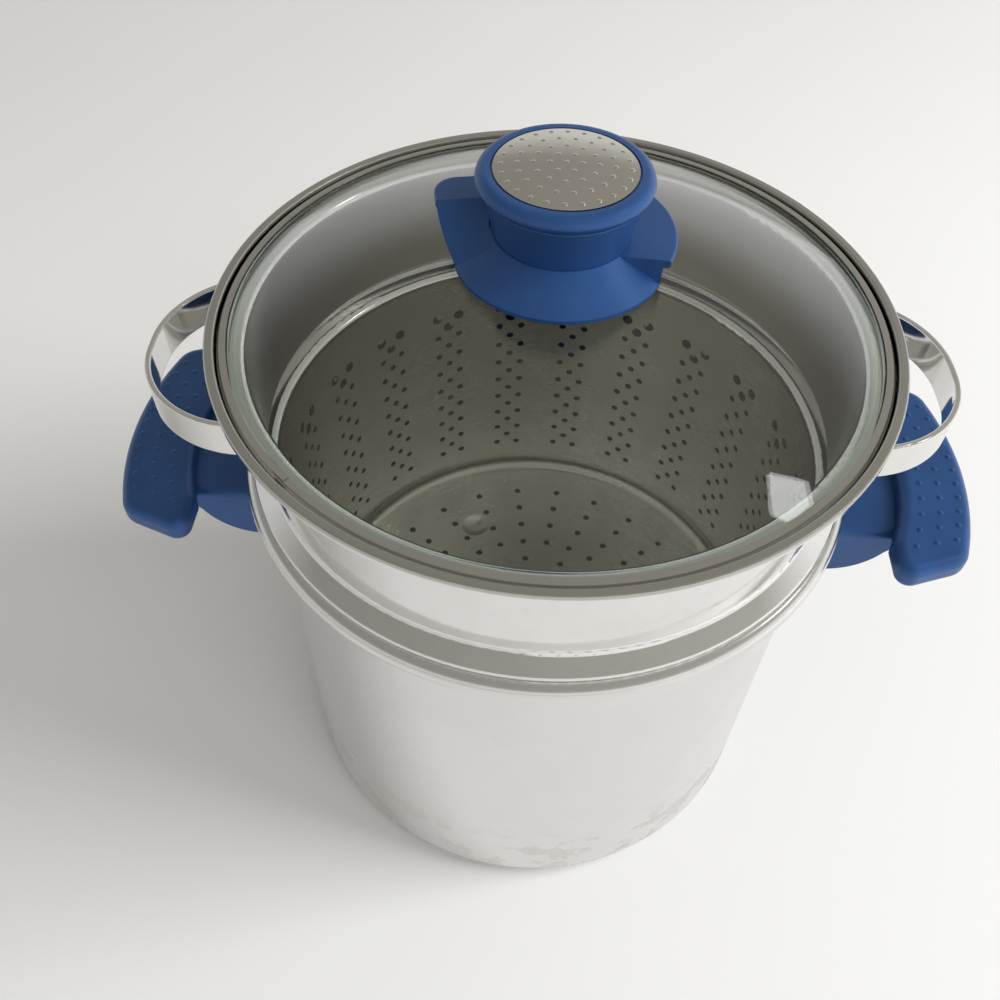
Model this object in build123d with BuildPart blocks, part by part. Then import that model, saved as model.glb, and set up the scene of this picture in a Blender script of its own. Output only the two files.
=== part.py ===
from build123d import *
import os
from math import asin, cos, degrees, radians, sin, sqrt

# Steamer pot: a drawn pot, a perforated steamer basket that hangs in its mouth, and a domed glass
# lid with a screwed-on knob. Millimetres. Z is up from the surface that the pot stands on, and
# the two moulded grips of the pot lie along X.

# Pot shell
pot_radius = 100.0
pot_sheet = 0.8
pot_height = 173.5
pot_corner_radius = 6.0
pot_curl_radius = 4.15
pot_curl_turn = 200.0

# Heat-spreading base: an aluminium core inside a steel cap
base_core_radius = 88.0
base_core_thickness = 3.4
base_cap_sheet = 0.6
base_cap_corner_radius = 1.5

# Moulded grips, one at each end of X
grip_top_height = 164.7
grip_thickness = 10.5
grip_reach = 153.2
grip_inner_reach = 121.5
grip_waist_reach = 128.5
grip_outer_corner_reach = 145.5
grip_outer_corner_half_length = 41.0
grip_inner_corner_half_length = 49.8
grip_root_half_width = 34.0
grip_outer_corner_radius = 9.0
grip_inner_corner_radius = 5.0
grip_edge_radius = 3.8
grip_underside_radius = 3.8
neck_half_width = 27.0
neck_roof_height = 158.7
neck_side_height = 154.5
neck_edge_radius = 3.5
neck_end_reach = 132.0
gusset_bottom_height = 136.0
gusset_flat_length = 4.0
gusset_tip_reach = 124.0
gusset_tip_height = 148.0
gusset_end_reach = 130.0
gusset_wall = 3.0
boss_half_width = 10.5

# Raised grip dots: three rows that follow the outer edge
dot_radius = 1.3
dot_proud = 0.6
dot_columns = 11
dot_outer_row_reach = 148.5
dot_row_spacing = 6.5
dot_outer_row_pitch = 6.5
dot_pitch_growth = 0.4
dot_row_arc_radius = 95.0

# Welded grip brackets, their screws and spring washers
bracket_pad_thickness = 1.2
bracket_pad_width = 30.0
bracket_pad_height = 15.0
bracket_tongue_thickness = 2.0
bracket_tongue_width = 16.0
bracket_tongue_reach = 121.0
bracket_tongue_height = 148.0
bracket_clearance = 0.3
bracket_corner_radius = 2.0
grip_screw_reach = 112.0
grip_screw_diameter = 4.0
grip_screw_head_diameter = 8.0
grip_screw_head_height = 2.6
grip_screw_recess = 3.0
grip_screw_tip_length = 3.0
grip_washer_diameter = 7.6
grip_washer_thickness = 1.0
screw_clearance = 0.25
thread_clearance = 0.05
drive_slot_depth = 1.3
drive_slot_width = 1.0

# Steamer basket
basket_turn = 2.0
basket_sheet = 0.7
basket_radius = 95.5
basket_floor_height = 49.3
basket_corner_radius = 5.7
basket_band_radius = 98.0
basket_bead_radius = 104.2
basket_bead_nose_height = 2.3
basket_bead_top_height = 180.5
basket_bead_nose_radius = 1.2
basket_bead_blend_radius = 2.4
basket_ledge_height = 221.6
basket_lip_radius = 107.9
basket_lip_corner_radius = 1.6
basket_rim_radius = 110.4
basket_rim_height = 227.7
basket_rim_hem = 2.4
basket_rim_bend_radius = 0.15

# Perforations of the basket wall: groups of three columns, the top hole of each column larger
wall_groups = 21
wall_pattern_start = 13.1
wall_column_angle = 2.95
wall_side_rows = 9
wall_row_pitch = 10.68
wall_top_row_height = 152.3
wall_hole_diameter = 3.0
wall_top_hole_diameter = 4.6

# Perforations of the basket floor: spokes of holes, fewer towards the middle, and three pressed feet
floor_spokes = 24
floor_pattern_start = 6.1
floor_outer_ring_radius = 75.5
floor_ring_pitch = 10.7
floor_full_rings = 4
floor_half_rings = 2
floor_hole_diameter = 3.0
foot_count = 3
foot_circle_radius = 59.4
foot_radius = 6.5
foot_depth = 1.4

# Basket strap handles
strap_reach = 135.1
strap_half_width = 38.0
strap_corner_radius = 36.0
strap_thickness = 2.0
strap_bottom_height = 195.0
strap_height = 13.5
strap_edge_radius = 0.7
strap_pad_angle = 9.0
strap_root_radius = 4.0

# Glass lid and its steel rim band
lid_clearance = 0.5
glass_radius = 105.9
glass_thickness = 3.6
glass_dome_height = 23.8
glass_edge_radius = 1.0
glass_flat_width = 2.6
glass_hole_diameter = 8.0
band_sheet = 0.4
band_lip_width = 3.0
band_bevel = 0.9
band_joint_width = 5.0
band_joint_turn = 226.0
band_joint_thickness = 0.5

# Knob: a winged base flange, a drum, a trim ring and a steel inlay disc
knob_seal_radius = 12.0
knob_seal_thickness = 1.2
flange_radius = 34.4
flange_top_height = 258.4
flange_thickness = 2.6
flange_edge_radius = 0.9
flange_hub_radius = 12.5
flange_turn = -3.0
lobe_front_distance = 11.2
lobe_root_radius = 20.8
lobe_radius = 32.2
lobe_drop = 8.4
lobe_edge_thickness = 1.3
step_wall_thickness = 2.4
wing_top_height = 262.0
wing_reach = 36.1
wing_front_distance = 13.0
wing_width = 12.3
wing_corner_radius = 7.5
wing_bevel = 4.0
wing_turn = 14.5
wing_root_reach = 12.0
wing_drum_clearance = 0.3
ramp_overlap = 0.6
drum_bottom_radius = 20.4
drum_top_radius = 23.4
drum_height = 14.0
drum_wall = 2.4
drum_floor = 2.4
drum_edge_radius = 0.5
drum_boss_radius = 7.5
drum_boss_height = 11.0
ring_foot_radius = 23.6
ring_radius = 25.8
ring_bulge_height = 2.4
ring_shoulder_radius = 3.0
ring_bulge_edge_radius = 1.4
ring_height = 6.0
ring_inner_radius = 21.4
ring_shelf_width = 2.6
ring_foot_edge_radius = 0.5
inlay_clearance = 0.6
inlay_sheet = 0.6
inlay_dome = 1.8
inlay_recess = 0.6
inlay_dot_radius = 1.3
inlay_dot_proud = 0.25
inlay_dot_rings = 4
inlay_dot_ring_pitch = 4.6
inlay_dots_per_ring = 6

# Knob fixing: threaded insert in the drum, screw, dished washer and lower seal under the glass
knob_screw_diameter = 5.0
knob_screw_head_diameter = 9.0
knob_screw_head_height = 2.8
knob_insert_diameter = 8.0
knob_insert_length = 8.0
knob_washer_radius = 10.0
knob_washer_thickness = 1.0
lower_seal_radius = 11.0
lower_seal_thickness = 1.5
sleeve_clearance = 0.2

# One overrun for every cut, and how closely an edge must match a size to be picked
overrun = 2.0
pick_tolerance = 0.05


# Sizes that follow
base_height = base_cap_sheet + base_core_thickness
base_cap_radius = base_core_radius + base_cap_sheet
pot_inner_radius = pot_radius - pot_sheet
pot_floor_height = base_height + pot_sheet
pot_curl_centre_height = pot_height - pot_curl_radius
grip_bottom_height = grip_top_height - grip_thickness
basket_seat_height = pot_height
lip_inner_radius = basket_lip_radius - basket_sheet
ledge_top_height = basket_ledge_height + basket_sheet
band_radius = lip_inner_radius - lid_clearance
band_bottom_height = ledge_top_height
glass_bottom_height = band_bottom_height + band_sheet
glass_rim_height = glass_bottom_height + glass_thickness
band_top_height = glass_rim_height + band_sheet
glass_apex_height = glass_rim_height + glass_dome_height
dome_foot_radius = glass_radius - glass_flat_width
dome_radius = (dome_foot_radius**2 + glass_dome_height**2) / (2 * glass_dome_height)
dome_centre_height = glass_apex_height - dome_radius
inner_dome_radius = dome_radius - glass_thickness
knob_seal_top_height = glass_apex_height + knob_seal_thickness
drum_top_height = flange_top_height + drum_height
ring_top_height = drum_top_height + ring_height
inlay_radius = ring_inner_radius - inlay_clearance
recess_top_height = gusset_bottom_height + grip_screw_recess + grip_washer_thickness + grip_screw_head_height
seal_bore = knob_screw_diameter / 2 + sleeve_clearance
lower_seal_height = glass_apex_height - glass_thickness - lower_seal_thickness
washer_bottom_height = lower_seal_height - knob_washer_thickness
grip_angles = {"right": 0.0, "left": 180.0}
os.makedirs("parts", exist_ok=True)


def write(part, name):
    part.label = name
    export_step(part, f"parts/{name}.step")


def turned_plane(height, angle):
    """A level sketch plane at a height, with its X axis turned about the pot's axis."""
    return Plane(origin=(0, 0, height), x_dir=(cos(radians(angle)), sin(radians(angle)), 0), z_dir=(0, 0, 1))


def upright_plane(angle, across):
    """An upright sketch plane at an angle about the pot's axis, moved sideways from it."""
    turn = radians(angle)
    return Plane(
        origin=(-across * sin(turn), across * cos(turn), 0),
        x_dir=(cos(turn), sin(turn), 0),
        z_dir=(sin(turn), -cos(turn), 0),
    )


def ring_sector(inner, outer, start, size):
    """A flat piece of a ring round the origin, from a start angle over an angle."""
    with BuildSketch() as sector:
        with BuildLine():
            outer_arc = CenterArc((0, 0), outer, start, size)
            inner_arc = CenterArc((0, 0), inner, start, size)
            Line(outer_arc @ 0, inner_arc @ 0)
            Line(outer_arc @ 1, inner_arc @ 1)
        make_face()
    return sector.sketch


def circle_reach(radius, across):
    """How far a circle about the axis reaches at a distance across from the middle."""
    return sqrt(radius**2 - across**2)


def drum_radius(height):
    """Outer radius of the tapered drum at a height."""
    rise = (height - flange_top_height) / drum_height
    return drum_bottom_radius + rise * (drum_top_radius - drum_bottom_radius)


def dome_height(radius, sphere):
    """Height of a sphere of the glass dome at a distance from the axis."""
    return dome_centre_height + sqrt(sphere**2 - radius**2)


# Pot shell: one drawn sheet, bent out and down at the rim
with BuildPart() as pot_body:
    with BuildSketch(Plane.XZ):
        with BuildLine():
            FilletPolyline(
                (0, pot_floor_height),
                (pot_inner_radius, pot_floor_height),
                (pot_inner_radius, pot_curl_centre_height),
                radius=pot_corner_radius - pot_sheet,
            )
            curl_centre = (pot_inner_radius + pot_curl_radius, pot_curl_centre_height)
            CenterArc(curl_centre, pot_curl_radius, 180, -pot_curl_turn)
            offset(amount=pot_sheet, side=Side.RIGHT)
        make_face()
    revolve(axis=Axis.Z)
write(pot_body.part, "pot_body")


# Base: the core disc fills the cap, and the pot's floor lies on both
with BuildPart() as base_core:
    with BuildSketch(Plane.XY.offset(base_cap_sheet)):
        Circle(base_core_radius)
    extrude(amount=base_core_thickness)
    fillet(base_core.edges().group_by(Axis.Z)[0], base_cap_corner_radius - base_cap_sheet)
write(base_core.part, "base_core")

with BuildPart() as base_cap:
    with BuildSketch(Plane.XZ):
        with BuildLine():
            FilletPolyline(
                (0, 0),
                (base_cap_radius, 0),
                (base_cap_radius, base_height),
                radius=base_cap_corner_radius,
            )
            offset(amount=base_cap_sheet, side=Side.LEFT)
        make_face()
    revolve(axis=Axis.Z)
write(base_cap.part, "base_cap")


# Welded brackets: a pad that follows the wall and a tapped tongue that enters the grip
def make_bracket(name, angle):
    pad_angle = degrees(bracket_pad_width / pot_radius)
    pad_bottom = bracket_tongue_height - bracket_pad_height / 2
    with BuildPart() as bracket:
        with BuildSketch(turned_plane(pad_bottom, angle)):
            add(ring_sector(pot_radius, pot_radius + bracket_pad_thickness, -pad_angle / 2, pad_angle))
        extrude(amount=bracket_pad_height)
        pad_corners = bracket.edges().filter_by(lambda e: abs(e.length - bracket_pad_thickness) < pick_tolerance)
        fillet(pad_corners, bracket_corner_radius)
        with BuildSketch(turned_plane(bracket_tongue_height, angle)) as tongue:
            with Locations((bracket_tongue_reach, 0)):
                Rectangle(
                    bracket_tongue_reach - pot_radius + overrun,
                    bracket_tongue_width,
                    align=(Align.MAX, Align.CENTER),
                )
            fillet(tongue.vertices().sort_by_distance((bracket_tongue_reach, 0))[:2], bracket_corner_radius)
            Circle(pot_radius, mode=Mode.SUBTRACT)
        extrude(amount=bracket_tongue_thickness)
        with BuildSketch(turned_plane(bracket_tongue_height, angle)):
            with Locations((grip_screw_reach, 0)):
                Circle(grip_screw_diameter / 2 + thread_clearance)
        extrude(amount=bracket_tongue_thickness, mode=Mode.SUBTRACT)
    write(bracket.part, name)


# Moulded grip: a curved bar on a hollow neck that closes against the pot wall
def grip_outline():
    """Plan of the bar: an arc outside, slanted ends, and an arc inside between two short flats."""
    outer, inner, root = grip_outer_corner_half_length, grip_inner_corner_half_length, grip_root_half_width
    with BuildSketch() as outline:
        with BuildLine():
            ThreePointArc((grip_outer_corner_reach, -outer), (grip_reach, 0), (grip_outer_corner_reach, outer))
            Line((grip_outer_corner_reach, outer), (grip_inner_reach, inner))
            Line((grip_inner_reach, inner), (grip_inner_reach, root))
            ThreePointArc((grip_inner_reach, root), (grip_waist_reach, 0), (grip_inner_reach, -root))
            Line((grip_inner_reach, -root), (grip_inner_reach, -inner))
            Line((grip_inner_reach, -inner), (grip_outer_corner_reach, -outer))
        make_face()
        for side in (1, -1):
            outer_corner = outline.vertices().sort_by_distance((grip_outer_corner_reach, side * outer))[0]
            fillet(outer_corner, grip_outer_corner_radius)
            inner_corner = outline.vertices().sort_by_distance((grip_inner_reach, side * inner))[0]
            fillet(inner_corner, grip_inner_corner_radius)
    return outline.sketch


def make_grip(name, angle):
    with BuildPart() as grip:
        with BuildSketch(turned_plane(grip_bottom_height, angle)):
            add(grip_outline())
        extrude(amount=grip_thickness)
        fillet(grip.edges().group_by(Axis.Z)[-1], grip_edge_radius)
        fillet(grip.edges().group_by(Axis.Z)[0], grip_underside_radius)

    with BuildPart() as neck:
        # roof of the neck, from inside the wall line into the bar
        with BuildSketch(turned_plane(neck_side_height, angle)):
            with Locations((neck_end_reach, 0)):
                Rectangle(
                    neck_end_reach - pot_radius + neck_half_width,
                    2 * neck_half_width,
                    align=(Align.MAX, Align.CENTER),
                )
        extrude(amount=neck_roof_height - neck_side_height)
        long_top = neck.edges().group_by(Axis.Z)[-1].sort_by(SortBy.LENGTH)[-2:]
        fillet(long_top, neck_edge_radius)
        # gusset below the roof, deep at the wall and thin at the bar
        with BuildSketch(upright_plane(angle, 0)):
            with BuildLine():
                start = (pot_radius - neck_half_width, gusset_bottom_height)
                knee = (pot_radius + gusset_flat_length, gusset_bottom_height)
                tip = (gusset_tip_reach, gusset_tip_height)
                end = (gusset_end_reach, neck_side_height)
                Line(start, knee)
                TangentArc(knee, tip, tangent=(1, 0))
                Polyline(tip, end, (start[0], neck_side_height), start)
            make_face()
        extrude(amount=neck_half_width, both=True)
        # hollow on both sides of the screw boss, open below
        pocket_width = neck_half_width - gusset_wall - boss_half_width
        pocket_length = grip_inner_reach - gusset_wall - pot_radius + neck_half_width
        with BuildSketch(turned_plane(gusset_bottom_height - overrun, angle)):
            with Locations(
                (grip_inner_reach - gusset_wall, boss_half_width + pocket_width / 2),
                (grip_inner_reach - gusset_wall, -boss_half_width - pocket_width / 2),
            ):
                Rectangle(pocket_length, pocket_width, align=(Align.MAX, Align.CENTER))
        extrude(amount=neck_side_height - gusset_bottom_height + overrun, mode=Mode.SUBTRACT)

    with BuildPart() as whole:
        add(grip.part)
        add(neck.part)
        # the neck's end follows the pot wall
        with BuildSketch(Plane.XY.offset(gusset_bottom_height - overrun)):
            Circle(pot_radius)
        extrude(amount=grip_top_height - gusset_bottom_height + 2 * overrun, mode=Mode.SUBTRACT)
        # room for the bracket's pad and tongue
        pad_angle = degrees((bracket_pad_width + 2 * bracket_clearance) / pot_radius)
        pad_bottom = bracket_tongue_height - bracket_pad_height / 2 - bracket_clearance
        with BuildSketch(turned_plane(pad_bottom, angle)):
            pad_face = pot_radius + bracket_pad_thickness + bracket_clearance
            add(ring_sector(pot_radius - overrun, pad_face, -pad_angle / 2, pad_angle))
        extrude(amount=bracket_pad_height + 2 * bracket_clearance, mode=Mode.SUBTRACT)
        with BuildSketch(turned_plane(bracket_tongue_height, angle)):
            with Locations((bracket_tongue_reach + bracket_clearance, 0)):
                Rectangle(
                    bracket_tongue_reach - pot_radius + overrun,
                    bracket_tongue_width + 2 * bracket_clearance,
                    align=(Align.MAX, Align.CENTER),
                )
        extrude(amount=bracket_tongue_thickness + bracket_clearance, mode=Mode.SUBTRACT)
        # screw hole with a recess for the head and the washer, drilled from below
        with BuildSketch(turned_plane(gusset_bottom_height - overrun, angle)):
            with Locations((grip_screw_reach, 0)):
                Circle(grip_screw_diameter / 2 + screw_clearance)
        hole_top = bracket_tongue_height + bracket_tongue_thickness + grip_screw_tip_length
        extrude(amount=hole_top - gusset_bottom_height + overrun, mode=Mode.SUBTRACT)
        with BuildSketch(turned_plane(gusset_bottom_height - overrun, angle)):
            with Locations((grip_screw_reach, 0)):
                Circle(grip_screw_head_diameter / 2 + screw_clearance)
        extrude(amount=recess_top_height - gusset_bottom_height + overrun, mode=Mode.SUBTRACT)
        # raised dots
        ball_drop = dot_radius - dot_proud
        places = []
        for row in range(3):
            pitch = dot_outer_row_pitch + row * dot_pitch_growth
            for column in range(dot_columns):
                along = (column - (dot_columns - 1) / 2) * pitch
                reach = dot_outer_row_reach - row * dot_row_spacing - along**2 / (2 * dot_row_arc_radius)
                places.append((reach, along))
        with Locations(turned_plane(grip_top_height - ball_drop, angle)):
            with Locations(*places):
                Sphere(dot_radius)
    write(whole.part, name)


for side_name, side_angle in grip_angles.items():
    make_bracket(f"{side_name}_grip_bracket", side_angle)
    make_grip(f"{side_name}_grip", side_angle)


# Grip screws and their spring washers, one pair at each grip
head_top_height = recess_top_height - grip_washer_thickness
with BuildPart() as grip_screws:
    with Locations(*[turned_plane(0, angle) for angle in grip_angles.values()]):
        with Locations((grip_screw_reach, 0, head_top_height)):
            Cylinder(
                grip_screw_head_diameter / 2,
                grip_screw_head_height,
                align=(Align.CENTER, Align.CENTER, Align.MAX),
            )
            shank = bracket_tongue_height + bracket_tongue_thickness + grip_screw_tip_length - head_top_height
            Cylinder(
                grip_screw_diameter / 2,
                shank - screw_clearance,
                align=(Align.CENTER, Align.CENTER, Align.MIN),
            )
        with Locations((grip_screw_reach, 0, head_top_height - grip_screw_head_height)):
            for turn in (0, 90):
                Box(
                    grip_screw_diameter,
                    drive_slot_width,
                    drive_slot_depth,
                    rotation=(0, 0, turn),
                    align=(Align.CENTER, Align.CENTER, Align.MIN),
                    mode=Mode.SUBTRACT,
                )
write(grip_screws.part, "grip_screws")

with BuildPart() as grip_washers:
    with Locations(*[turned_plane(0, angle) for angle in grip_angles.values()]):
        with Locations((grip_screw_reach, 0, head_top_height)):
            Cylinder(
                grip_washer_diameter / 2,
                grip_washer_thickness,
                align=(Align.CENTER, Align.CENTER, Align.MIN),
            )
            Cylinder(
                grip_screw_diameter / 2 + thread_clearance,
                grip_washer_thickness,
                align=(Align.CENTER, Align.CENTER, Align.MIN),
                mode=Mode.SUBTRACT,
            )
write(grip_washers.part, "grip_washers")


# Pressed foot of the basket floor: a shallow dish, made once and set in three places
foot_ball = (foot_radius**2 + foot_depth**2) / (2 * foot_depth)
foot_centre = basket_floor_height + basket_sheet - foot_depth + foot_ball
with BuildPart() as pressed_foot:
    with Locations((0, 0, foot_centre)):
        Sphere(foot_ball + basket_sheet)
    split(bisect_by=Plane.XY.offset(basket_floor_height + basket_sheet), keep=Keep.BOTTOM)
    with Locations((0, 0, foot_centre)):
        Sphere(foot_ball, mode=Mode.SUBTRACT)


# Steamer basket: one drawn sheet with a bead that sits on the pot rim, and a ledge for the lid
bead_nose_top = basket_seat_height + basket_bead_nose_height
rim_under_height = basket_rim_height - basket_sheet
with BuildPart() as basket_shell:
    with BuildSketch(Plane.XZ):
        with BuildLine():
            FilletPolyline(
                (0, basket_floor_height),
                (basket_radius, basket_floor_height),
                (basket_radius, basket_seat_height),
                (basket_bead_radius, basket_seat_height),
                (basket_bead_radius, bead_nose_top),
                (basket_band_radius, basket_bead_top_height),
                (basket_band_radius, basket_ledge_height),
                (basket_lip_radius, basket_ledge_height),
                (basket_lip_radius, rim_under_height),
                (basket_rim_radius - basket_sheet, rim_under_height),
                (basket_rim_radius - basket_sheet, basket_rim_height - basket_rim_hem),
                radius=[
                    basket_corner_radius,
                    basket_bead_blend_radius,
                    basket_bead_nose_radius,
                    basket_bead_nose_radius,
                    basket_bead_blend_radius,
                    basket_bead_blend_radius,
                    basket_lip_corner_radius,
                    basket_rim_bend_radius,
                    basket_rim_bend_radius,
                ],
            )
            offset(amount=basket_sheet, side=Side.LEFT)
        make_face()
    revolve(axis=Axis.Z)

    # pressed feet halfway between two spokes
    half_spoke = 180 / floor_spokes
    foot_step = 360 / foot_count
    foot_start = basket_turn + floor_pattern_start + half_spoke * (2 * floor_spokes // foot_count - 1)
    foot_angles = [foot_start + step * foot_step for step in range(foot_count)]
    feet = [(foot_circle_radius * cos(radians(a)), foot_circle_radius * sin(radians(a))) for a in foot_angles]
    with Locations(*[(x, y, foot_centre) for x, y in feet]):
        Sphere(foot_ball, mode=Mode.SUBTRACT)
    with Locations(*feet):
        add(pressed_foot.part)

    # floor holes: full rings outside, half as many inside, and a quarter in the middle
    floor_holes = []
    for ring in range(floor_full_rings + floor_half_rings + 1):
        skip = 1 if ring < floor_full_rings else 2 if ring < floor_full_rings + floor_half_rings else 4
        ring_radius_here = floor_outer_ring_radius - ring * floor_ring_pitch
        for spoke in range(0, floor_spokes, skip):
            azimuth = radians(basket_turn + floor_pattern_start + spoke * 360 / floor_spokes)
            floor_holes.append((ring_radius_here * cos(azimuth), ring_radius_here * sin(azimuth)))
    with BuildSketch(Plane.XY.offset(basket_floor_height - overrun)):
        with Locations(*floor_holes):
            Circle(floor_hole_diameter / 2)
    extrude(amount=basket_sheet + 2 * overrun, mode=Mode.SUBTRACT)

    # wall holes: each drilled along a radius, from just inside the wall
    drill_start = basket_radius - overrun
    top_holes, wall_holes = [], []
    for group in range(wall_groups):
        middle = basket_turn + wall_pattern_start + group * 360 / wall_groups
        for column in (-1, 0, 1):
            azimuth = middle + column * wall_column_angle
            rows = wall_side_rows if column else wall_side_rows - 1
            first = wall_top_row_height if column else wall_top_row_height - wall_row_pitch / 2
            for row in range(rows):
                outward = (cos(radians(azimuth)), sin(radians(azimuth)), 0)
                start = (drill_start * outward[0], drill_start * outward[1], first - row * wall_row_pitch)
                (wall_holes if row else top_holes).append(Plane(origin=start, z_dir=outward))
    for places, diameter in ((top_holes, wall_top_hole_diameter), (wall_holes, wall_hole_diameter)):
        with Locations(*places):
            Cylinder(
                diameter / 2,
                2 * overrun,
                align=(Align.CENTER, Align.CENTER, Align.MIN),
                mode=Mode.SUBTRACT,
            )
write(basket_shell.part, "basket_shell")


# Basket strap handles: a flat strip bent to a loop, its ends laid along the band and welded
def make_strap(name, angle):
    leg_angle = degrees(asin((strap_half_width - strap_thickness) / basket_band_radius))
    with BuildPart() as strap:
        with BuildSketch(turned_plane(strap_bottom_height, angle)) as plan:
            with Locations((strap_reach, 0)):
                RectangleRounded(
                    strap_reach,
                    2 * strap_half_width,
                    strap_corner_radius,
                    align=(Align.MAX, Align.CENTER),
                )
            with Locations((strap_reach - strap_thickness, 0)):
                RectangleRounded(
                    strap_reach - 2 * strap_thickness,
                    2 * (strap_half_width - strap_thickness),
                    strap_corner_radius - strap_thickness,
                    align=(Align.MAX, Align.CENTER),
                    mode=Mode.SUBTRACT,
                )
            pad_outer = basket_band_radius + strap_thickness
            for start, size in ((leg_angle, strap_pad_angle), (-leg_angle, -strap_pad_angle)):
                add(ring_sector(basket_band_radius, pad_outer, start, size))
            Circle(basket_band_radius, mode=Mode.SUBTRACT)
            root_reach = sqrt(pad_outer**2 - strap_half_width**2)
            for across in (strap_half_width, -strap_half_width):
                fillet(plan.vertices().sort_by_distance((root_reach, across))[0], strap_root_radius)
        extrude(amount=strap_height)
        flat_edges = strap.edges().group_by(Axis.Z)[-1] + strap.edges().group_by(Axis.Z)[0]
        on_wall = basket_band_radius + pick_tolerance
        fillet([e for e in flat_edges if (e @ (1 / 2)).X ** 2 + (e @ (1 / 2)).Y ** 2 > on_wall**2], strap_edge_radius)
    write(strap.part, name)


for side_name, side_angle in grip_angles.items():
    make_strap(f"{side_name}_strap", side_angle + basket_turn)


# Glass lid: a flat rim in the band, and a spherical dome with a hole for the knob screw
with BuildPart() as lid_glass:
    with BuildSketch(Plane.XZ):
        with BuildLine():
            hole = glass_hole_diameter / 2
            inner_foot = circle_reach(inner_dome_radius, glass_bottom_height - dome_centre_height)
            outer_start = (hole, dome_height(hole, dome_radius))
            inner_start = (hole, dome_height(hole, inner_dome_radius))
            half = dome_foot_radius / 2
            outer_mid = (half, dome_height(half, dome_radius))
            inner_mid = (half, dome_height(half, inner_dome_radius))
            ThreePointArc(outer_start, outer_mid, (dome_foot_radius, glass_rim_height))
            Line((dome_foot_radius, glass_rim_height), (glass_radius, glass_rim_height))
            Line((glass_radius, glass_rim_height), (glass_radius, glass_bottom_height))
            Line((glass_radius, glass_bottom_height), (inner_foot, glass_bottom_height))
            ThreePointArc((inner_foot, glass_bottom_height), inner_mid, inner_start)
            Line(inner_start, outer_start)
        make_face()
    revolve(axis=Axis.Z)
    circles = lid_glass.edges().filter_by(GeomType.CIRCLE)
    fillet(circles.filter_by(lambda e: abs(e.radius - glass_radius) < pick_tolerance), glass_edge_radius)
write(lid_glass.part, "lid_glass")

# Rim band: a channel closed round the glass, bevelled where it turns
lip_edge = band_radius - band_lip_width
channel_radius = band_radius - band_sheet
channel_bevel = band_bevel - band_sheet * (2 - sqrt(2))
with BuildPart() as lid_band:
    with BuildSketch(Plane.XZ) as band_profile:
        with BuildLine():
            Polyline(
                (lip_edge, band_bottom_height),
                (band_radius, band_bottom_height),
                (band_radius, band_top_height),
                (lip_edge, band_top_height),
                (lip_edge, glass_rim_height),
                (channel_radius, glass_rim_height),
                (channel_radius, glass_bottom_height),
                (lip_edge, glass_bottom_height),
                close=True,
            )
        make_face()
        for corner, bevel in (
            ((band_radius, band_bottom_height), band_bevel),
            ((band_radius, band_top_height), band_bevel),
            ((channel_radius, glass_bottom_height), channel_bevel),
            ((channel_radius, glass_rim_height), channel_bevel),
        ):
            chamfer(band_profile.vertices().sort_by_distance(corner)[0], bevel)
    revolve(axis=Axis.Z)
write(lid_band.part, "lid_band")

# Welded plate over the band's joint
with BuildPart() as band_joint:
    joint_angle = degrees(band_joint_width / band_radius)
    with BuildSketch(turned_plane(band_top_height, band_joint_turn)):
        add(ring_sector(lip_edge, band_radius - band_bevel, -joint_angle / 2, joint_angle))
    extrude(amount=band_joint_thickness)
write(band_joint.part, "band_joint")


def dome_ring(inner, outer, level, sphere):
    """A ring between a level face and a sphere of the dome."""
    middle = (inner + outer) / 2
    with BuildPart() as ring:
        with BuildSketch(Plane.XZ):
            with BuildLine():
                inner_top = (inner, dome_height(inner, sphere))
                outer_top = (outer, dome_height(outer, sphere))
                ThreePointArc(inner_top, (middle, dome_height(middle, sphere)), outer_top)
                Polyline(outer_top, (outer, level), (inner, level), inner_top)
            make_face()
        revolve(axis=Axis.Z)
    return ring.part


# Seals that follow the dome on both faces of the glass
write(dome_ring(seal_bore, knob_seal_radius, knob_seal_top_height, dome_radius), "upper_seal")
write(dome_ring(seal_bore, lower_seal_radius, lower_seal_height, inner_dome_radius), "lower_seal")


# Knob flange: a disc whose front falls away as a cone, between a step and a ramp from a raised wing
flange_under_height = flange_top_height - flange_thickness
lobe_edge_height = flange_top_height - lobe_drop
with BuildPart() as flange_disc:
    with BuildSketch(Plane.XZ):
        with BuildLine():
            Polyline(
                (seal_bore, knob_seal_top_height),
                (flange_hub_radius, knob_seal_top_height),
                (flange_hub_radius + flange_thickness, flange_under_height),
                (flange_radius, flange_under_height),
                (flange_radius, flange_top_height),
                (seal_bore, flange_top_height),
                close=True,
            )
        make_face()
    revolve(axis=Axis.Z)
    fillet(flange_disc.edges().filter_by(GeomType.CIRCLE).sort_by(SortBy.RADIUS)[-2:], flange_edge_radius)
    # cut away outside the root circle: all of the front, and the left side in front of the wing
    with BuildSketch(Plane.XY.offset(flange_top_height + overrun)):
        with Locations((0, -lobe_front_distance)):
            Rectangle(2 * flange_radius + overrun, flange_radius, align=(Align.CENTER, Align.MAX))
        with Locations(upright_plane(wing_turn, wing_front_distance).origin):
            Rectangle(
                flange_radius + overrun,
                2 * flange_radius,
                rotation=wing_turn,
                align=(Align.MAX, Align.MAX),
            )
        Circle(lobe_root_radius, mode=Mode.SUBTRACT)
    extrude(amount=-(flange_top_height - knob_seal_top_height + 2 * overrun), mode=Mode.SUBTRACT)

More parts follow.
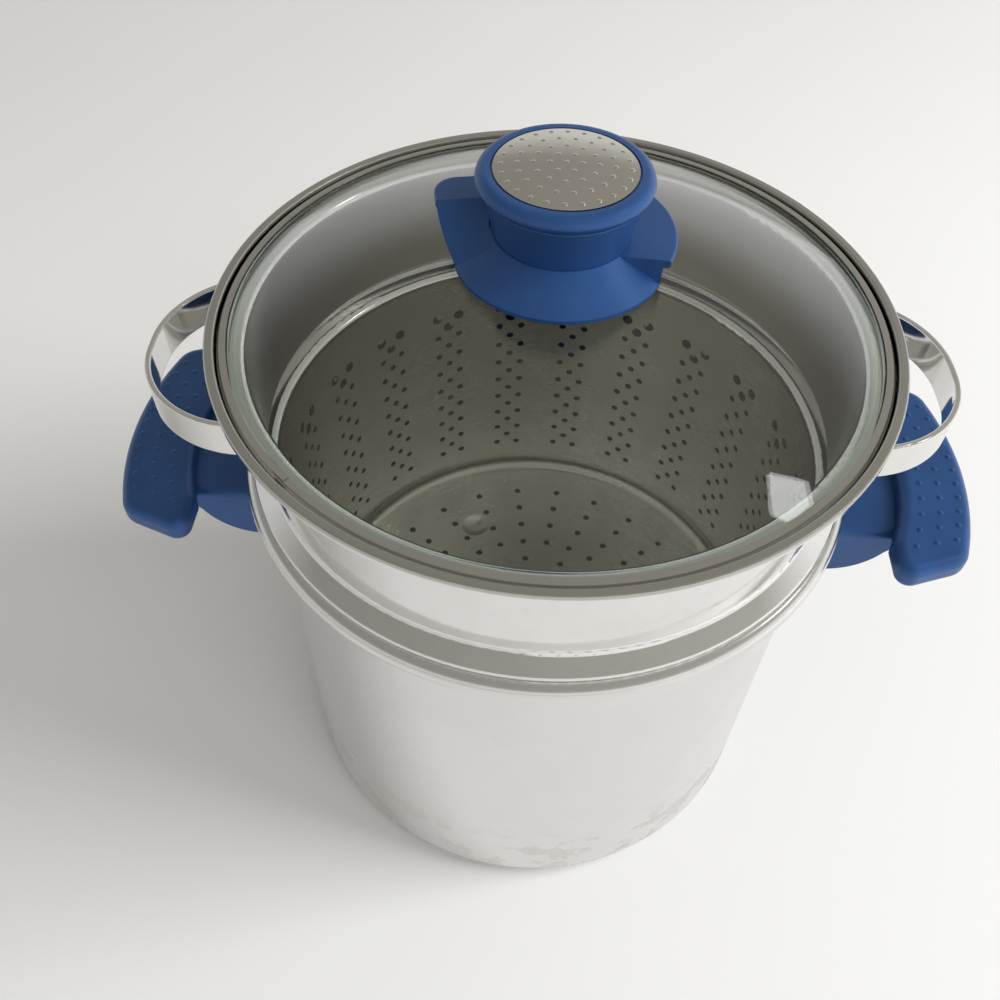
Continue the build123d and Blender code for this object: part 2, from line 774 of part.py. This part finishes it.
with BuildPart() as flange_lobe:
    with BuildSketch(Plane.XZ):
        with BuildLine():
            inner = lobe_root_radius - flange_thickness
            Polyline(
                (inner, flange_top_height),
                (lobe_root_radius, flange_top_height),
                (lobe_radius, lobe_edge_height),
                (lobe_radius, lobe_edge_height - lobe_edge_thickness),
                (lobe_root_radius, flange_under_height),
                (inner, flange_under_height),
                close=True,
            )
        make_face()
    revolve(axis=Axis.Z)
    split(bisect_by=Plane.XZ.offset(lobe_front_distance), keep=Keep.TOP)


# the raised wing: a plate with a rounded back corner, thick enough to stand on the disc
wing_thickness = wing_top_height - flange_under_height
with BuildPart() as flange_wing:
    with BuildSketch(turned_plane(flange_under_height, wing_turn)) as wing_plan:
        with Locations((-wing_reach, wing_front_distance)):
            Rectangle(wing_reach - wing_root_reach, wing_width, align=(Align.MIN, Align.MIN))
        back_corner = (-wing_reach, wing_front_distance + wing_width)
        fillet(wing_plan.vertices().sort_by_distance(back_corner)[0], wing_corner_radius)
    extrude(amount=wing_thickness)
    top_corner = turned_plane(wing_top_height, wing_turn).from_local_coords(back_corner)
    fillet(flange_wing.edges().group_by(Axis.Z)[-1].sort_by_distance(top_corner)[:3], flange_edge_radius)
    # its underside falls back towards the ramp's edge
    under_corner = turned_plane(flange_under_height, wing_turn).from_local_coords(back_corner)
    chamfer(flange_wing.edges().group_by(Axis.Z)[0].sort_by_distance(under_corner)[:3], wing_bevel)

# the ramp: a ruled solid between the wing's level front and a falling line, trimmed to the flange's edge
wing_front_radius = sqrt(wing_reach**2 + wing_front_distance**2)
ramp_root = circle_reach(lobe_root_radius, lobe_front_distance) - ramp_overlap
ramp_end = circle_reach(lobe_radius, lobe_front_distance)
with BuildPart() as flange_ramp:
    under_drop = lobe_drop + lobe_edge_thickness - flange_thickness
    level_root = circle_reach(lobe_root_radius, wing_front_distance)
    for turn, across, start, top, edge, fall, under_fall in (
        (wing_turn, wing_front_distance, level_root, wing_top_height, wing_front_radius, 0, 0),
        (
            0,
            -lobe_front_distance - ramp_overlap,
            ramp_root,
            flange_top_height,
            lobe_radius,
            lobe_drop + ramp_overlap,
            under_drop,
        ),
    ):
        # both slopes run on to beyond the flange's edge
        reach = circle_reach(edge, across) + overrun
        share = (reach - start) / (ramp_end - ramp_root)
        with BuildSketch(upright_plane(turn, across)):
            with BuildLine():
                Polyline(
                    (ramp_overlap - start, top),
                    (-reach, top - share * fall),
                    (-reach, flange_under_height - share * under_fall),
                    (ramp_overlap - start, flange_under_height),
                    close=True,
                )
            make_face()
    loft(ruled=True)
    with BuildSketch(Plane.XZ):
        with BuildLine():
            Polyline(
                (0, wing_top_height + overrun),
                (wing_front_radius, wing_top_height + overrun),
                (wing_front_radius, wing_top_height),
                (lobe_radius, lobe_edge_height),
                (lobe_radius, lobe_edge_height - overrun),
                (0, lobe_edge_height - overrun),
                close=True,
            )
        make_face()
    revolve(axis=Axis.Z, mode=Mode.INTERSECT)

with BuildPart() as flange_step:
    with BuildSketch(Plane.XZ.offset(lobe_front_distance)):
        with BuildLine():
            inner = circle_reach(lobe_root_radius, lobe_front_distance) - ramp_overlap
            step_top_height = flange_top_height - flange_edge_radius
            Polyline(
                (inner, step_top_height),
                (circle_reach(flange_radius - 2 * flange_edge_radius, lobe_front_distance), step_top_height),
                (circle_reach(lobe_radius, lobe_front_distance), lobe_edge_height),
                (circle_reach(lobe_radius, lobe_front_distance), lobe_edge_height - lobe_edge_thickness),
                (inner, flange_under_height),
                close=True,
            )
        make_face()
    extrude(amount=-step_wall_thickness)

with BuildPart() as knob_flange:
    for piece in (flange_disc, flange_lobe, flange_wing, flange_ramp, flange_step):
        add(piece.part, rotation=(0, 0, flange_turn))
    # the wing and the ramp stay clear of the tapered drum
    with BuildSketch(Plane.XY.offset(flange_top_height)):
        Circle(drum_radius(wing_top_height) + wing_drum_clearance)
    extrude(amount=wing_thickness, mode=Mode.SUBTRACT)
write(knob_flange.part, "knob_flange")


# Drum of the knob: a tapered cup with a boss for the threaded insert
with BuildPart() as knob_drum:
    with BuildSketch(Plane.XZ):
        with BuildLine():
            Polyline(
                (0, flange_top_height),
                (drum_bottom_radius, flange_top_height),
                (drum_top_radius, drum_top_height),
                (0, drum_top_height),
                close=True,
            )
        make_face()
    revolve(axis=Axis.Z)
    fillet(knob_drum.edges().group_by(Axis.Z)[-1], drum_edge_radius)
    with BuildSketch(Plane.XZ):
        with BuildLine():
            floor_height = flange_top_height + drum_floor
            Polyline(
                (drum_boss_radius, floor_height),
                (drum_bottom_radius - drum_wall, floor_height),
                (drum_top_radius - drum_wall, drum_top_height + overrun),
                (0, drum_top_height + overrun),
                (0, flange_top_height + drum_boss_height),
                (drum_boss_radius, flange_top_height + drum_boss_height),
                close=True,
            )
        make_face()
    revolve(axis=Axis.Z, mode=Mode.SUBTRACT)
    with BuildSketch(Plane.XY.offset(flange_top_height)):
        Circle(knob_insert_diameter / 2)
    extrude(amount=knob_insert_length, mode=Mode.SUBTRACT)
write(knob_drum.part, "knob_drum")


# Trim ring: it closes the drum and holds the inlay disc on a shelf
with BuildPart() as knob_ring:
    shelf_height = ring_top_height - inlay_recess
    with BuildSketch(Plane.XZ) as ring_profile:
        with BuildLine():
            foot = (ring_foot_radius, drum_top_height)
            bulge = (ring_radius, drum_top_height + ring_bulge_height)
            shoulder = (ring_radius, ring_top_height)
            Polyline(
                foot,
                bulge,
                shoulder,
                (ring_inner_radius, ring_top_height),
                (ring_inner_radius, shelf_height),
                (ring_inner_radius - ring_shelf_width, shelf_height),
                (ring_inner_radius - ring_shelf_width, drum_top_height),
                close=True,
            )
        make_face()
        for corner, radius in (
            (shoulder, ring_shoulder_radius),
            (bulge, ring_bulge_edge_radius),
            (foot, ring_foot_edge_radius),
        ):
            fillet(ring_profile.vertices().sort_by_distance(corner)[0], radius)
    revolve(axis=Axis.Z)
write(knob_ring.part, "knob_ring")


# Inlay disc: thin polished steel, slightly domed, with rings of pressed dots
inlay_sphere = (inlay_radius**2 + inlay_dome**2) / (2 * inlay_dome)
inlay_crown = shelf_height + inlay_sheet + inlay_dome
inlay_centre = inlay_crown - inlay_sphere
with BuildPart() as knob_inlay:
    with BuildSketch(Plane.XZ):
        with BuildLine():
            half = inlay_radius / 2
            for sheet in (0, inlay_sheet):
                ThreePointArc(
                    (0, inlay_crown - sheet),
                    (half, inlay_centre - sheet + sqrt(inlay_sphere**2 - half**2)),
                    (inlay_radius, inlay_crown - inlay_dome - sheet),
                )
            Line((0, inlay_crown), (0, inlay_crown - inlay_sheet))
            Line((inlay_radius, shelf_height + inlay_sheet), (inlay_radius, shelf_height))
        make_face()
    revolve(axis=Axis.Z)
    dots = [(0, 0, inlay_crown - inlay_dot_radius + inlay_dot_proud)]
    for ring in range(1, inlay_dot_rings + 1):
        reach = ring * inlay_dot_ring_pitch
        level = inlay_centre + sqrt(inlay_sphere**2 - reach**2) - inlay_dot_radius + inlay_dot_proud
        for dot in range(ring * inlay_dots_per_ring):
            azimuth = radians(360 * dot / (ring * inlay_dots_per_ring))
            dots.append((reach * cos(azimuth), reach * sin(azimuth), level))
    with Locations(*dots):
        Sphere(inlay_dot_radius)
    # the balls that press the dots leave nothing below the sheet
    with BuildSketch(Plane.XZ):
        with BuildLine():
            below = shelf_height - 2 * inlay_dot_radius
            ThreePointArc(
                (0, inlay_crown - inlay_sheet),
                (half, inlay_centre - inlay_sheet + sqrt(inlay_sphere**2 - half**2)),
                (inlay_radius, shelf_height),
            )
            Line((inlay_radius, shelf_height), (inlay_radius, below))
            Line((inlay_radius, below), (0, below))
            Line((0, below), (0, inlay_crown - inlay_sheet))
        make_face()
    revolve(axis=Axis.Z, mode=Mode.SUBTRACT)
write(knob_inlay.part, "knob_inlay")


# Threaded insert, screw and dished washer on the knob's axis
with BuildPart() as knob_insert:
    with Locations((0, 0, flange_top_height)):
        Cylinder(
            knob_insert_diameter / 2,
            knob_insert_length,
            align=(Align.CENTER, Align.CENTER, Align.MIN),
        )
        Cylinder(
            knob_screw_diameter / 2 + thread_clearance,
            knob_insert_length,
            align=(Align.CENTER, Align.CENTER, Align.MIN),
            mode=Mode.SUBTRACT,
        )
write(knob_insert.part, "knob_insert")

with BuildPart() as knob_washer:
    with Locations((0, 0, washer_bottom_height)):
        Cylinder(knob_washer_radius, knob_washer_thickness, align=(Align.CENTER, Align.CENTER, Align.MIN))
        Cylinder(
            knob_screw_diameter / 2 + sleeve_clearance,
            knob_washer_thickness,
            align=(Align.CENTER, Align.CENTER, Align.MIN),
            mode=Mode.SUBTRACT,
        )
    fillet(knob_washer.edges().group_by(Axis.Z)[0].sort_by(SortBy.RADIUS)[-1], knob_washer_thickness / 2)
write(knob_washer.part, "knob_washer")

with BuildPart() as knob_screw:
    with Locations((0, 0, washer_bottom_height)):
        Cylinder(
            knob_screw_head_diameter / 2,
            knob_screw_head_height,
            align=(Align.CENTER, Align.CENTER, Align.MAX),
        )
        Cylinder(
            knob_screw_diameter / 2,
            flange_top_height + knob_insert_length - thread_clearance - washer_bottom_height,
            align=(Align.CENTER, Align.CENTER, Align.MIN),
        )
    fillet(knob_screw.edges().group_by(Axis.Z)[0], drum_edge_radius)
    with Locations((0, 0, washer_bottom_height - knob_screw_head_height)):
        for turn in (0, 90):
            Box(
                knob_screw_diameter,
                drive_slot_width,
                drive_slot_depth,
                rotation=(0, 0, turn),
                align=(Align.CENTER, Align.CENTER, Align.MIN),
                mode=Mode.SUBTRACT,
            )
write(knob_screw.part, "knob_screw")
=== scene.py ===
from math import cos, sin

import bpy
from mathutils import Matrix, Vector

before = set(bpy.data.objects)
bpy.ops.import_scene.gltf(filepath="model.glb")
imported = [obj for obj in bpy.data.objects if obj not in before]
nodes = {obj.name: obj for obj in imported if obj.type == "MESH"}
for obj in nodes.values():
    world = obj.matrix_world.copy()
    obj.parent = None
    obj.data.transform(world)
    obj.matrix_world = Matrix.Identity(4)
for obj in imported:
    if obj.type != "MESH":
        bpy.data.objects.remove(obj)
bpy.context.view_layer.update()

# Where a finish begins and where it is complete, in millimetres of radius or of height
basket_outside = (95.1, 95.2)
band_outside = (97.6, 97.7)
above_bead = (176.0, 179.0)
# flat_rim and rim_top also bound where the flat rim is painted darker as painted shade
flat_rim = (107.0, 107.2)
rim_top = (226.0, 226.3)
marks_foot = (3.0, 8.0)
marks_top = (30.0, 52.0)
glass_edge = (92.0, 104.0)

# Wear on steel: sizes in millimetres, and the brushed grain's waves per millimetre across and along it
smudge_size = 34.0
finger_mark_size = 7.0
water_mark_size = 17.0
water_mark_squash = 0.8
grain_across = 3.0
grain_along = 0.02

# Steel of the pot: clean, dulled by hands, and under dried water
pot_clean = (0.76, 0.755, 0.74)
pot_dull = (0.69, 0.685, 0.67)
pot_marked = (0.6, 0.59, 0.57)
pot_roughness = 0.2
pot_relief = 0.005

# Steel of the basket: satin inside, polished outside, the inside of its band, and painted shade on its flat
# rim
satin_clean = (0.72, 0.705, 0.64)
satin_dull = (0.65, 0.635, 0.57)
bright_clean = (0.8, 0.795, 0.78)
bright_dull = (0.74, 0.73, 0.71)
band_inside = (0.82, 0.81, 0.79)
rim_painted_shade = (0.5, 0.49, 0.46)
basket_roughness = 0.27
basket_relief = 0.012

# Moulded plastic: sizes of its clouds and of its spark-eroded grain, and the grain's depth
plastic_cloud_size = 18.0
plastic_grain_size = 0.45
plastic_relief = 0.03

# Glass of the lid: through its face, through its edge, and in its shadow
glass_face = (0.97, 0.985, 0.975)
glass_green = (0.86, 0.93, 0.89)
glass_shadow = (0.93, 0.95, 0.94)

# The level ground: half its width in metres, and the size of its faint clouds in millimetres
ground_half_width = 6.0
ground_cloud_size = 400.0
ground_grey = (0.84, 0.84, 0.845)
ground_white = (0.88, 0.88, 0.88)

# The light all round, from the horizon at 0 to straight above at 1, and how it grows from left to right
sky_stops = (
    (0.0, (0.95, 0.95, 0.95)),
    (0.26, (0.9, 0.9, 0.89)),
    (0.46, (0.42, 0.407, 0.375)),
    (1.0, (0.4, 0.387, 0.355)),
)
sky_dimming = {"From Min": -0.8, "From Max": 0.8, "To Min": 0.7, "To Max": 1.12}

# The lamps: the points that they light, and the sides of their squares, in metres
basket_middle = (0.0, 0.0, 0.2)
grip_level = (0.0, 0.0, 0.15)
key_size = 0.3
glow_size = 1.1

# The camera: place in metres, turns in radians, focal length in pixels, and sensor in millimetres
camera_place = (-0.00457, -0.24949, 0.43057)
camera_pitch, camera_yaw, camera_roll = 0.875, -0.0457, 0.028
focal_pixels = 986.9
picture_pixels = 1000.0
sensor_width = 36.0


class Value:
    """A number that changes over a surface, with plain arithmetic on it."""

    def __init__(self, tree, socket):
        self.tree, self.socket = tree, socket

    def math(self, operation, *others):
        return self.tree.node("ShaderNodeMath", {"operation": operation}, dict(enumerate((self, *others))))

    def __add__(self, other):
        return self.math("ADD", other)

    def __mul__(self, other):
        return self.math("MULTIPLY", other)

    def __sub__(self, other):
        return self.math("SUBTRACT", other)

    def __rsub__(self, other):
        return self * -1.0 + other

    def __pow__(self, other):
        return self.math("POWER", other)

    __radd__ = __add__
    __rmul__ = __mul__

    def between(self, low, high):
        """0 below low, 1 above high, and a smooth rise between them."""
        settings = {"interpolation_type": "SMOOTHSTEP", "clamp": True}
        return self.tree.node("ShaderNodeMapRange", settings, {0: self, 1: low, 2: high, 3: 0.0, 4: 1.0})


def set_stops(elements, stops):
    """Puts a ramp's colours at their places."""
    for stop in stops[1:-1]:
        elements.new(stop[0])
    for element, (position, colour) in zip(elements, stops):
        element.position = position
        element.color = (*colour, 1.0)


class Tree:
    """The shader nodes of a material or of the world."""

    def __init__(self, owner):
        owner.use_nodes = True
        self.nodes, self.links = owner.node_tree.nodes, owner.node_tree.links

    def put(self, node, key, value):
        """Links a socket to a changing value, or sets it to a plain one."""
        if isinstance(value, Value):
            self.links.new(value.socket, node.inputs[key])
        else:
            node.inputs[key].default_value = value

    def node(self, kind, settings=None, inputs=None, output=0):
        """A new node, with its settings first and then its sockets, as the value of one output."""
        made = self.nodes.new(kind)
        for setting, value in (settings or {}).items():
            if setting == "stops":
                set_stops(made.color_ramp.elements, value)
            else:
                setattr(made, setting, value)
        for key, value in (inputs or {}).items():
            self.put(made, key, value)
        return Value(self, made.outputs[output])

    def parts_of(self, vector):
        """The three numbers of a vector."""
        split = self.node("ShaderNodeSeparateXYZ", inputs={0: vector})
        return [Value(self, output) for output in split.socket.node.outputs]


class Finish(Tree):
    """A material built on one Principled shader. Sizes on the surface are in millimetres."""

    def __init__(self, name, **sockets):
        self.material = bpy.data.materials.new(name)
        super().__init__(self.material)
        self.shader = self.nodes["Principled BSDF"]
        self.surface(**sockets)

    def surface(self, **sockets):
        """Sets sockets of the shader, and gives the material."""
        for socket, value in sockets.items():
            self.put(self.shader, socket.replace("_", " "), value)
        return self.material

    def place(self):
        """The point on the surface, in millimetres."""
        coordinates = self.node("ShaderNodeTexCoord", output="Object")
        return self.node("ShaderNodeVectorMath", {"operation": "SCALE"}, {0: coordinates, "Scale": 1000.0})

    def round_place(self):
        """The point as radius, length round a circle of 100 mm radius, and height."""
        x, y, height = self.parts_of(self.place())
        return (x * x + y * y) ** 0.5, y.math("ARCTAN2", x) * 100.0, height

    def vector(self, x, y, z):
        return self.node("ShaderNodeCombineXYZ", inputs={0: x, 1: y, 2: z})

    def noise(self, vector, size, detail=2.0, roughness=0.5):
        """Cloudy noise from 0 to 1 whose features are about size across."""
        inputs = {"Vector": vector, "Scale": 1.0 / size, "Detail": detail, "Roughness": roughness}
        return self.node("ShaderNodeTexNoise", inputs=inputs)

    def blend(self, share, one, other):
        """The colour one where share is 0, and other where it is 1."""
        mix = self.node("ShaderNodeMix", {"data_type": "RGBA"}, {"Factor": share}).socket.node
        # a Mix node keeps its two colours in inputs 6 and 7, and their blend in output 2
        for key, colour in ((6, one), (7, other)):
            self.put(mix, key, colour if isinstance(colour, Value) else (*colour, 1.0))
        return Value(self, mix.outputs[2])

    def bump(self, height, depth):
        """A surface normal for a relief of that many millimetres."""
        inputs = {"Height": height, "Distance": depth / 1000.0, "Strength": 1.0}
        return self.node("ShaderNodeBump", inputs=inputs)

    def wear(self, radius, turn, height):
        """Dull clouds of finger marks, and a brushed grain that runs round the axis."""
        place = self.place()
        clouds = self.noise(place, smudge_size, detail=4.0, roughness=0.6)
        marks = self.noise(place, finger_mark_size, detail=3.0, roughness=0.65)
        # the grain is drawn out so far along the turn that its seam at the left can't be seen
        stretched = self.vector(radius * grain_across, turn * grain_along, height * grain_across)
        grain = self.noise(stretched, 1.0)
        return clouds.between(0.35, 0.75) * 0.6 + marks.between(0.45, 0.8) * 0.4, grain


def steel(name, colour, rough, brushing=0.0, smudge=0.06):
    """Bare metal: up to a tenth darker, and duller, where hands touched it, and brushed or not."""
    finish = Finish(name, Metallic=1.0)
    dull, grain = finish.wear(*finish.round_place())
    tone = finish.blend(dull * 0.5 + grain * 0.3, colour, [0.9 * c for c in colour])
    finish.surface(Base_Color=tone, Roughness=rough + smudge * dull + brushing * 0.25 * (grain - 0.5))
    if brushing:
        finish.surface(Normal=finish.bump(grain, brushing * 0.02))
    return finish.material


def pot_finish():
    """Satin steel of the pot, with dried water marks low on the wall."""
    finish = Finish("pot_steel", Metallic=1.0, Anisotropic=0.3)
    radius, turn, height = finish.round_place()
    dull, grain = finish.wear(radius, turn, height)
    pools = finish.noise(finish.vector(radius, turn * water_mark_squash, height), water_mark_size, 3.0, 0.55)
    marks = pools.between(0.53, 0.56) * (1.0 - height.between(*marks_top)) * height.between(*marks_foot)
    tone = finish.blend(dull * 0.5 + grain * 0.3, pot_clean, pot_dull)
    return finish.surface(
        Base_Color=finish.blend(marks * 0.5, tone, pot_marked),
        Roughness=pot_roughness + 0.07 * dull + 0.06 * (grain - 0.5) + 0.1 * marks,
        Normal=finish.bump(grain, pot_relief),
    )


def basket_finish():
    """Satin inside, polished outside, and a finely turned flat rim whose darker colour is painted shade."""
    finish = Finish("basket_steel", Metallic=1.0, Anisotropic=0.5)
    radius, turn, height = finish.round_place()
    dull, grain = finish.wear(radius, turn, height)
    above = height.between(*above_bead)
    lower_outside = radius.between(*basket_outside) * (1.0 - above)
    outside = lower_outside.math("MAXIMUM", radius.between(*band_outside))
    rim = radius.between(*flat_rim) * height.between(*rim_top)
    inner = finish.blend(above, finish.blend(dull, satin_clean, satin_dull), band_inside)
    wall = finish.blend(outside, inner, finish.blend(dull, bright_clean, bright_dull))
    satin = basket_roughness + 0.07 * dull + 0.06 * (grain - 0.5)
    return finish.surface(
        # the flat rim's colour is painted shade: darker steel where its top faces the dim overhead
        Base_Color=finish.blend(rim, wall, rim_painted_shade),
        Roughness=satin - above * 0.05 - outside * 0.15 + rim * 0.14,
        Normal=finish.bump(grain * (1.0 - 0.8 * outside), basket_relief),
    )


def plastic(name, colour, rough=0.36, pearl=0.0):
    """Moulded plastic or silicone: a satin skin with a fine spark-eroded grain, and pearl pigment in some."""
    finish = Finish(name, Metallic=pearl)
    place = finish.place()
    clouds = finish.noise(place, plastic_cloud_size, detail=3.0)
    grain = finish.noise(place, plastic_grain_size)
    return finish.surface(
        Base_Color=finish.blend(clouds.between(0.35, 0.7), colour, [1.15 * c for c in colour]),
        Roughness=rough + 0.08 * clouds + 0.05 * grain,
        Normal=finish.bump(grain, plastic_relief),
    )


def clear_glass(name):
    """Tempered glass, faintly green towards its edge, that lets most light through to its shadow."""
    finish = Finish(name, Transmission_Weight=1.0, Roughness=0.0, IOR=1.5)
    radius = finish.round_place()[0]
    finish.surface(Base_Color=finish.blend(radius.between(*glass_edge), glass_face, glass_green))
    clear = finish.node("ShaderNodeBsdfTransparent", inputs={"Color": (*glass_shadow, 1.0)})
    shadow = finish.node("ShaderNodeLightPath", output="Is Shadow Ray")
    solid = Value(finish, finish.shader.outputs[0])
    both = finish.node("ShaderNodeMixShader", inputs={0: shadow, 1: solid, 2: clear})
    finish.put(finish.nodes["Material Output"], "Surface", both)
    return finish.material


pot_steel = pot_finish()
basket_steel = basket_finish()
polished_steel = steel("polished_steel", (0.78, 0.77, 0.75), 0.06, smudge=0.08)
inlay_steel = steel("inlay_steel", (0.62, 0.6, 0.55), 0.1, smudge=0.1)
# the lid band's steel is painted darker as painted shade, standing in for the dim overhead that it mirrors
rim_steel_painted_shade = steel("rim_steel_painted_shade", (0.56, 0.545, 0.515), 0.16, brushing=0.2)
fixing_steel = steel("fixing_steel", (0.6, 0.6, 0.6), 0.28)
blue_plastic = plastic("blue_plastic", (0.021, 0.076, 0.232), 0.29, pearl=0.35)
lid_clear = clear_glass("lid_glass_clear")
seal_rubber = plastic("seal_rubber", (0.6, 0.6, 0.57))
brass = steel("brass", (0.72, 0.53, 0.24), 0.25)
aluminium = steel("aluminium", (0.8, 0.8, 0.81), 0.3)

finish_of = {
    "pot_body": pot_steel,
    "base_core": aluminium,
    "base_cap": pot_steel,
    "right_grip_bracket": fixing_steel,
    "left_grip_bracket": fixing_steel,
    "right_grip": blue_plastic,
    "left_grip": blue_plastic,
    "grip_screws": fixing_steel,
    "grip_washers": fixing_steel,
    "basket_shell": basket_steel,
    "right_strap": polished_steel,
    "left_strap": polished_steel,
    "lid_glass": lid_clear,
    "lid_band": rim_steel_painted_shade,
    "band_joint": rim_steel_painted_shade,
    "upper_seal": seal_rubber,
    "lower_seal": seal_rubber,
    "knob_flange": blue_plastic,
    "knob_drum": blue_plastic,
    "knob_ring": blue_plastic,
    "knob_inlay": inlay_steel,
    "knob_insert": brass,
    "knob_washer": fixing_steel,
    "knob_screw": fixing_steel,
}
for name, material in finish_of.items():
    nodes[name].data.materials.clear()
    nodes[name].data.materials.append(material)


def floor():
    """A wide level square under the pot."""
    reach = ground_half_width
    corners = [(-reach, -reach, 0), (reach, -reach, 0), (reach, reach, 0), (-reach, reach, 0)]
    mesh = bpy.data.meshes.new("floor")
    mesh.from_pydata(corners, [], [(0, 1, 2, 3)])
    piece = bpy.data.objects.new("floor", mesh)
    bpy.context.scene.collection.objects.link(piece)
    finish = Finish("floor_paint", Roughness=0.6, Specular_IOR_Level=0.2)
    clouds = finish.noise(finish.place(), ground_cloud_size)
    mesh.materials.append(finish.surface(Base_Color=finish.blend(clouds, ground_grey, ground_white)))


def lamp(name, place, target, size, power, mirrored=True):
    """A square soft light that points at a target, and that metal and glass mirror or not."""
    light = bpy.data.lights.new(name, "AREA")
    light.shape = "SQUARE"
    light.size = size
    light.energy = power
    piece = bpy.data.objects.new(name, light)
    piece.location = place
    piece.rotation_mode = "QUATERNION"
    piece.rotation_quaternion = (Vector(target) - Vector(place)).to_track_quat("-Z", "Y")
    piece.visible_glossy = mirrored
    piece.visible_transmission = mirrored
    bpy.context.scene.collection.objects.link(piece)


def surroundings():
    """Bright low down, dim and warm overhead, and dimmer on the left than on the key light's side."""
    world = bpy.data.worlds.new("surroundings")
    bpy.context.scene.world = world
    sky = Tree(world)
    rightward, _, upward = sky.parts_of(sky.node("ShaderNodeTexCoord", output="Generated"))
    colour = sky.node("ShaderNodeValToRGB", {"stops": sky_stops}, {0: upward})
    strength = sky.node("ShaderNodeMapRange", inputs={"Value": rightward, **sky_dimming})
    sky.put(sky.nodes["Background"], "Color", colour)
    sky.put(sky.nodes["Background"], "Strength", strength)


def camera():
    """The photograph's view: solved from the rings of the pot, basket and lid."""
    pitch, yaw, roll = camera_pitch, camera_yaw, camera_roll
    forward = Vector((sin(yaw) * cos(pitch), cos(yaw) * cos(pitch), -sin(pitch)))
    level = Vector((cos(yaw), -sin(yaw), 0.0))
    upright = level.cross(forward)
    right = level * cos(roll) + upright * sin(roll)
    up = upright * cos(roll) - level * sin(roll)
    data = bpy.data.cameras.new("camera")
    data.sensor_width = sensor_width
    data.lens = focal_pixels / picture_pixels * sensor_width
    data.clip_start, data.clip_end = 0.01, 50.0
    piece = bpy.data.objects.new("camera", data)
    turned = Matrix((right, up, -forward)).transposed().to_4x4()
    piece.matrix_world = Matrix.Translation(camera_place) @ turned
    bpy.context.scene.collection.objects.link(piece)
    bpy.context.scene.camera = piece


floor()
surroundings()
lamp("key_light", (1.65, 0.26, 1.85), basket_middle, key_size, power=1.4)
lamp("key_glow", (1.75, -0.1, 1.35), grip_level, glow_size, power=38.0, mirrored=False)
lamp("front_right_glow", (1.0, -1.33, 1.9), basket_middle, glow_size, power=9.0, mirrored=False)
lamp("front_left_glow", (-1.33, -1.04, 1.9), basket_middle, glow_size, power=1.2, mirrored=False)
camera()
bpy.context.scene.view_settings.view_transform = "Standard"
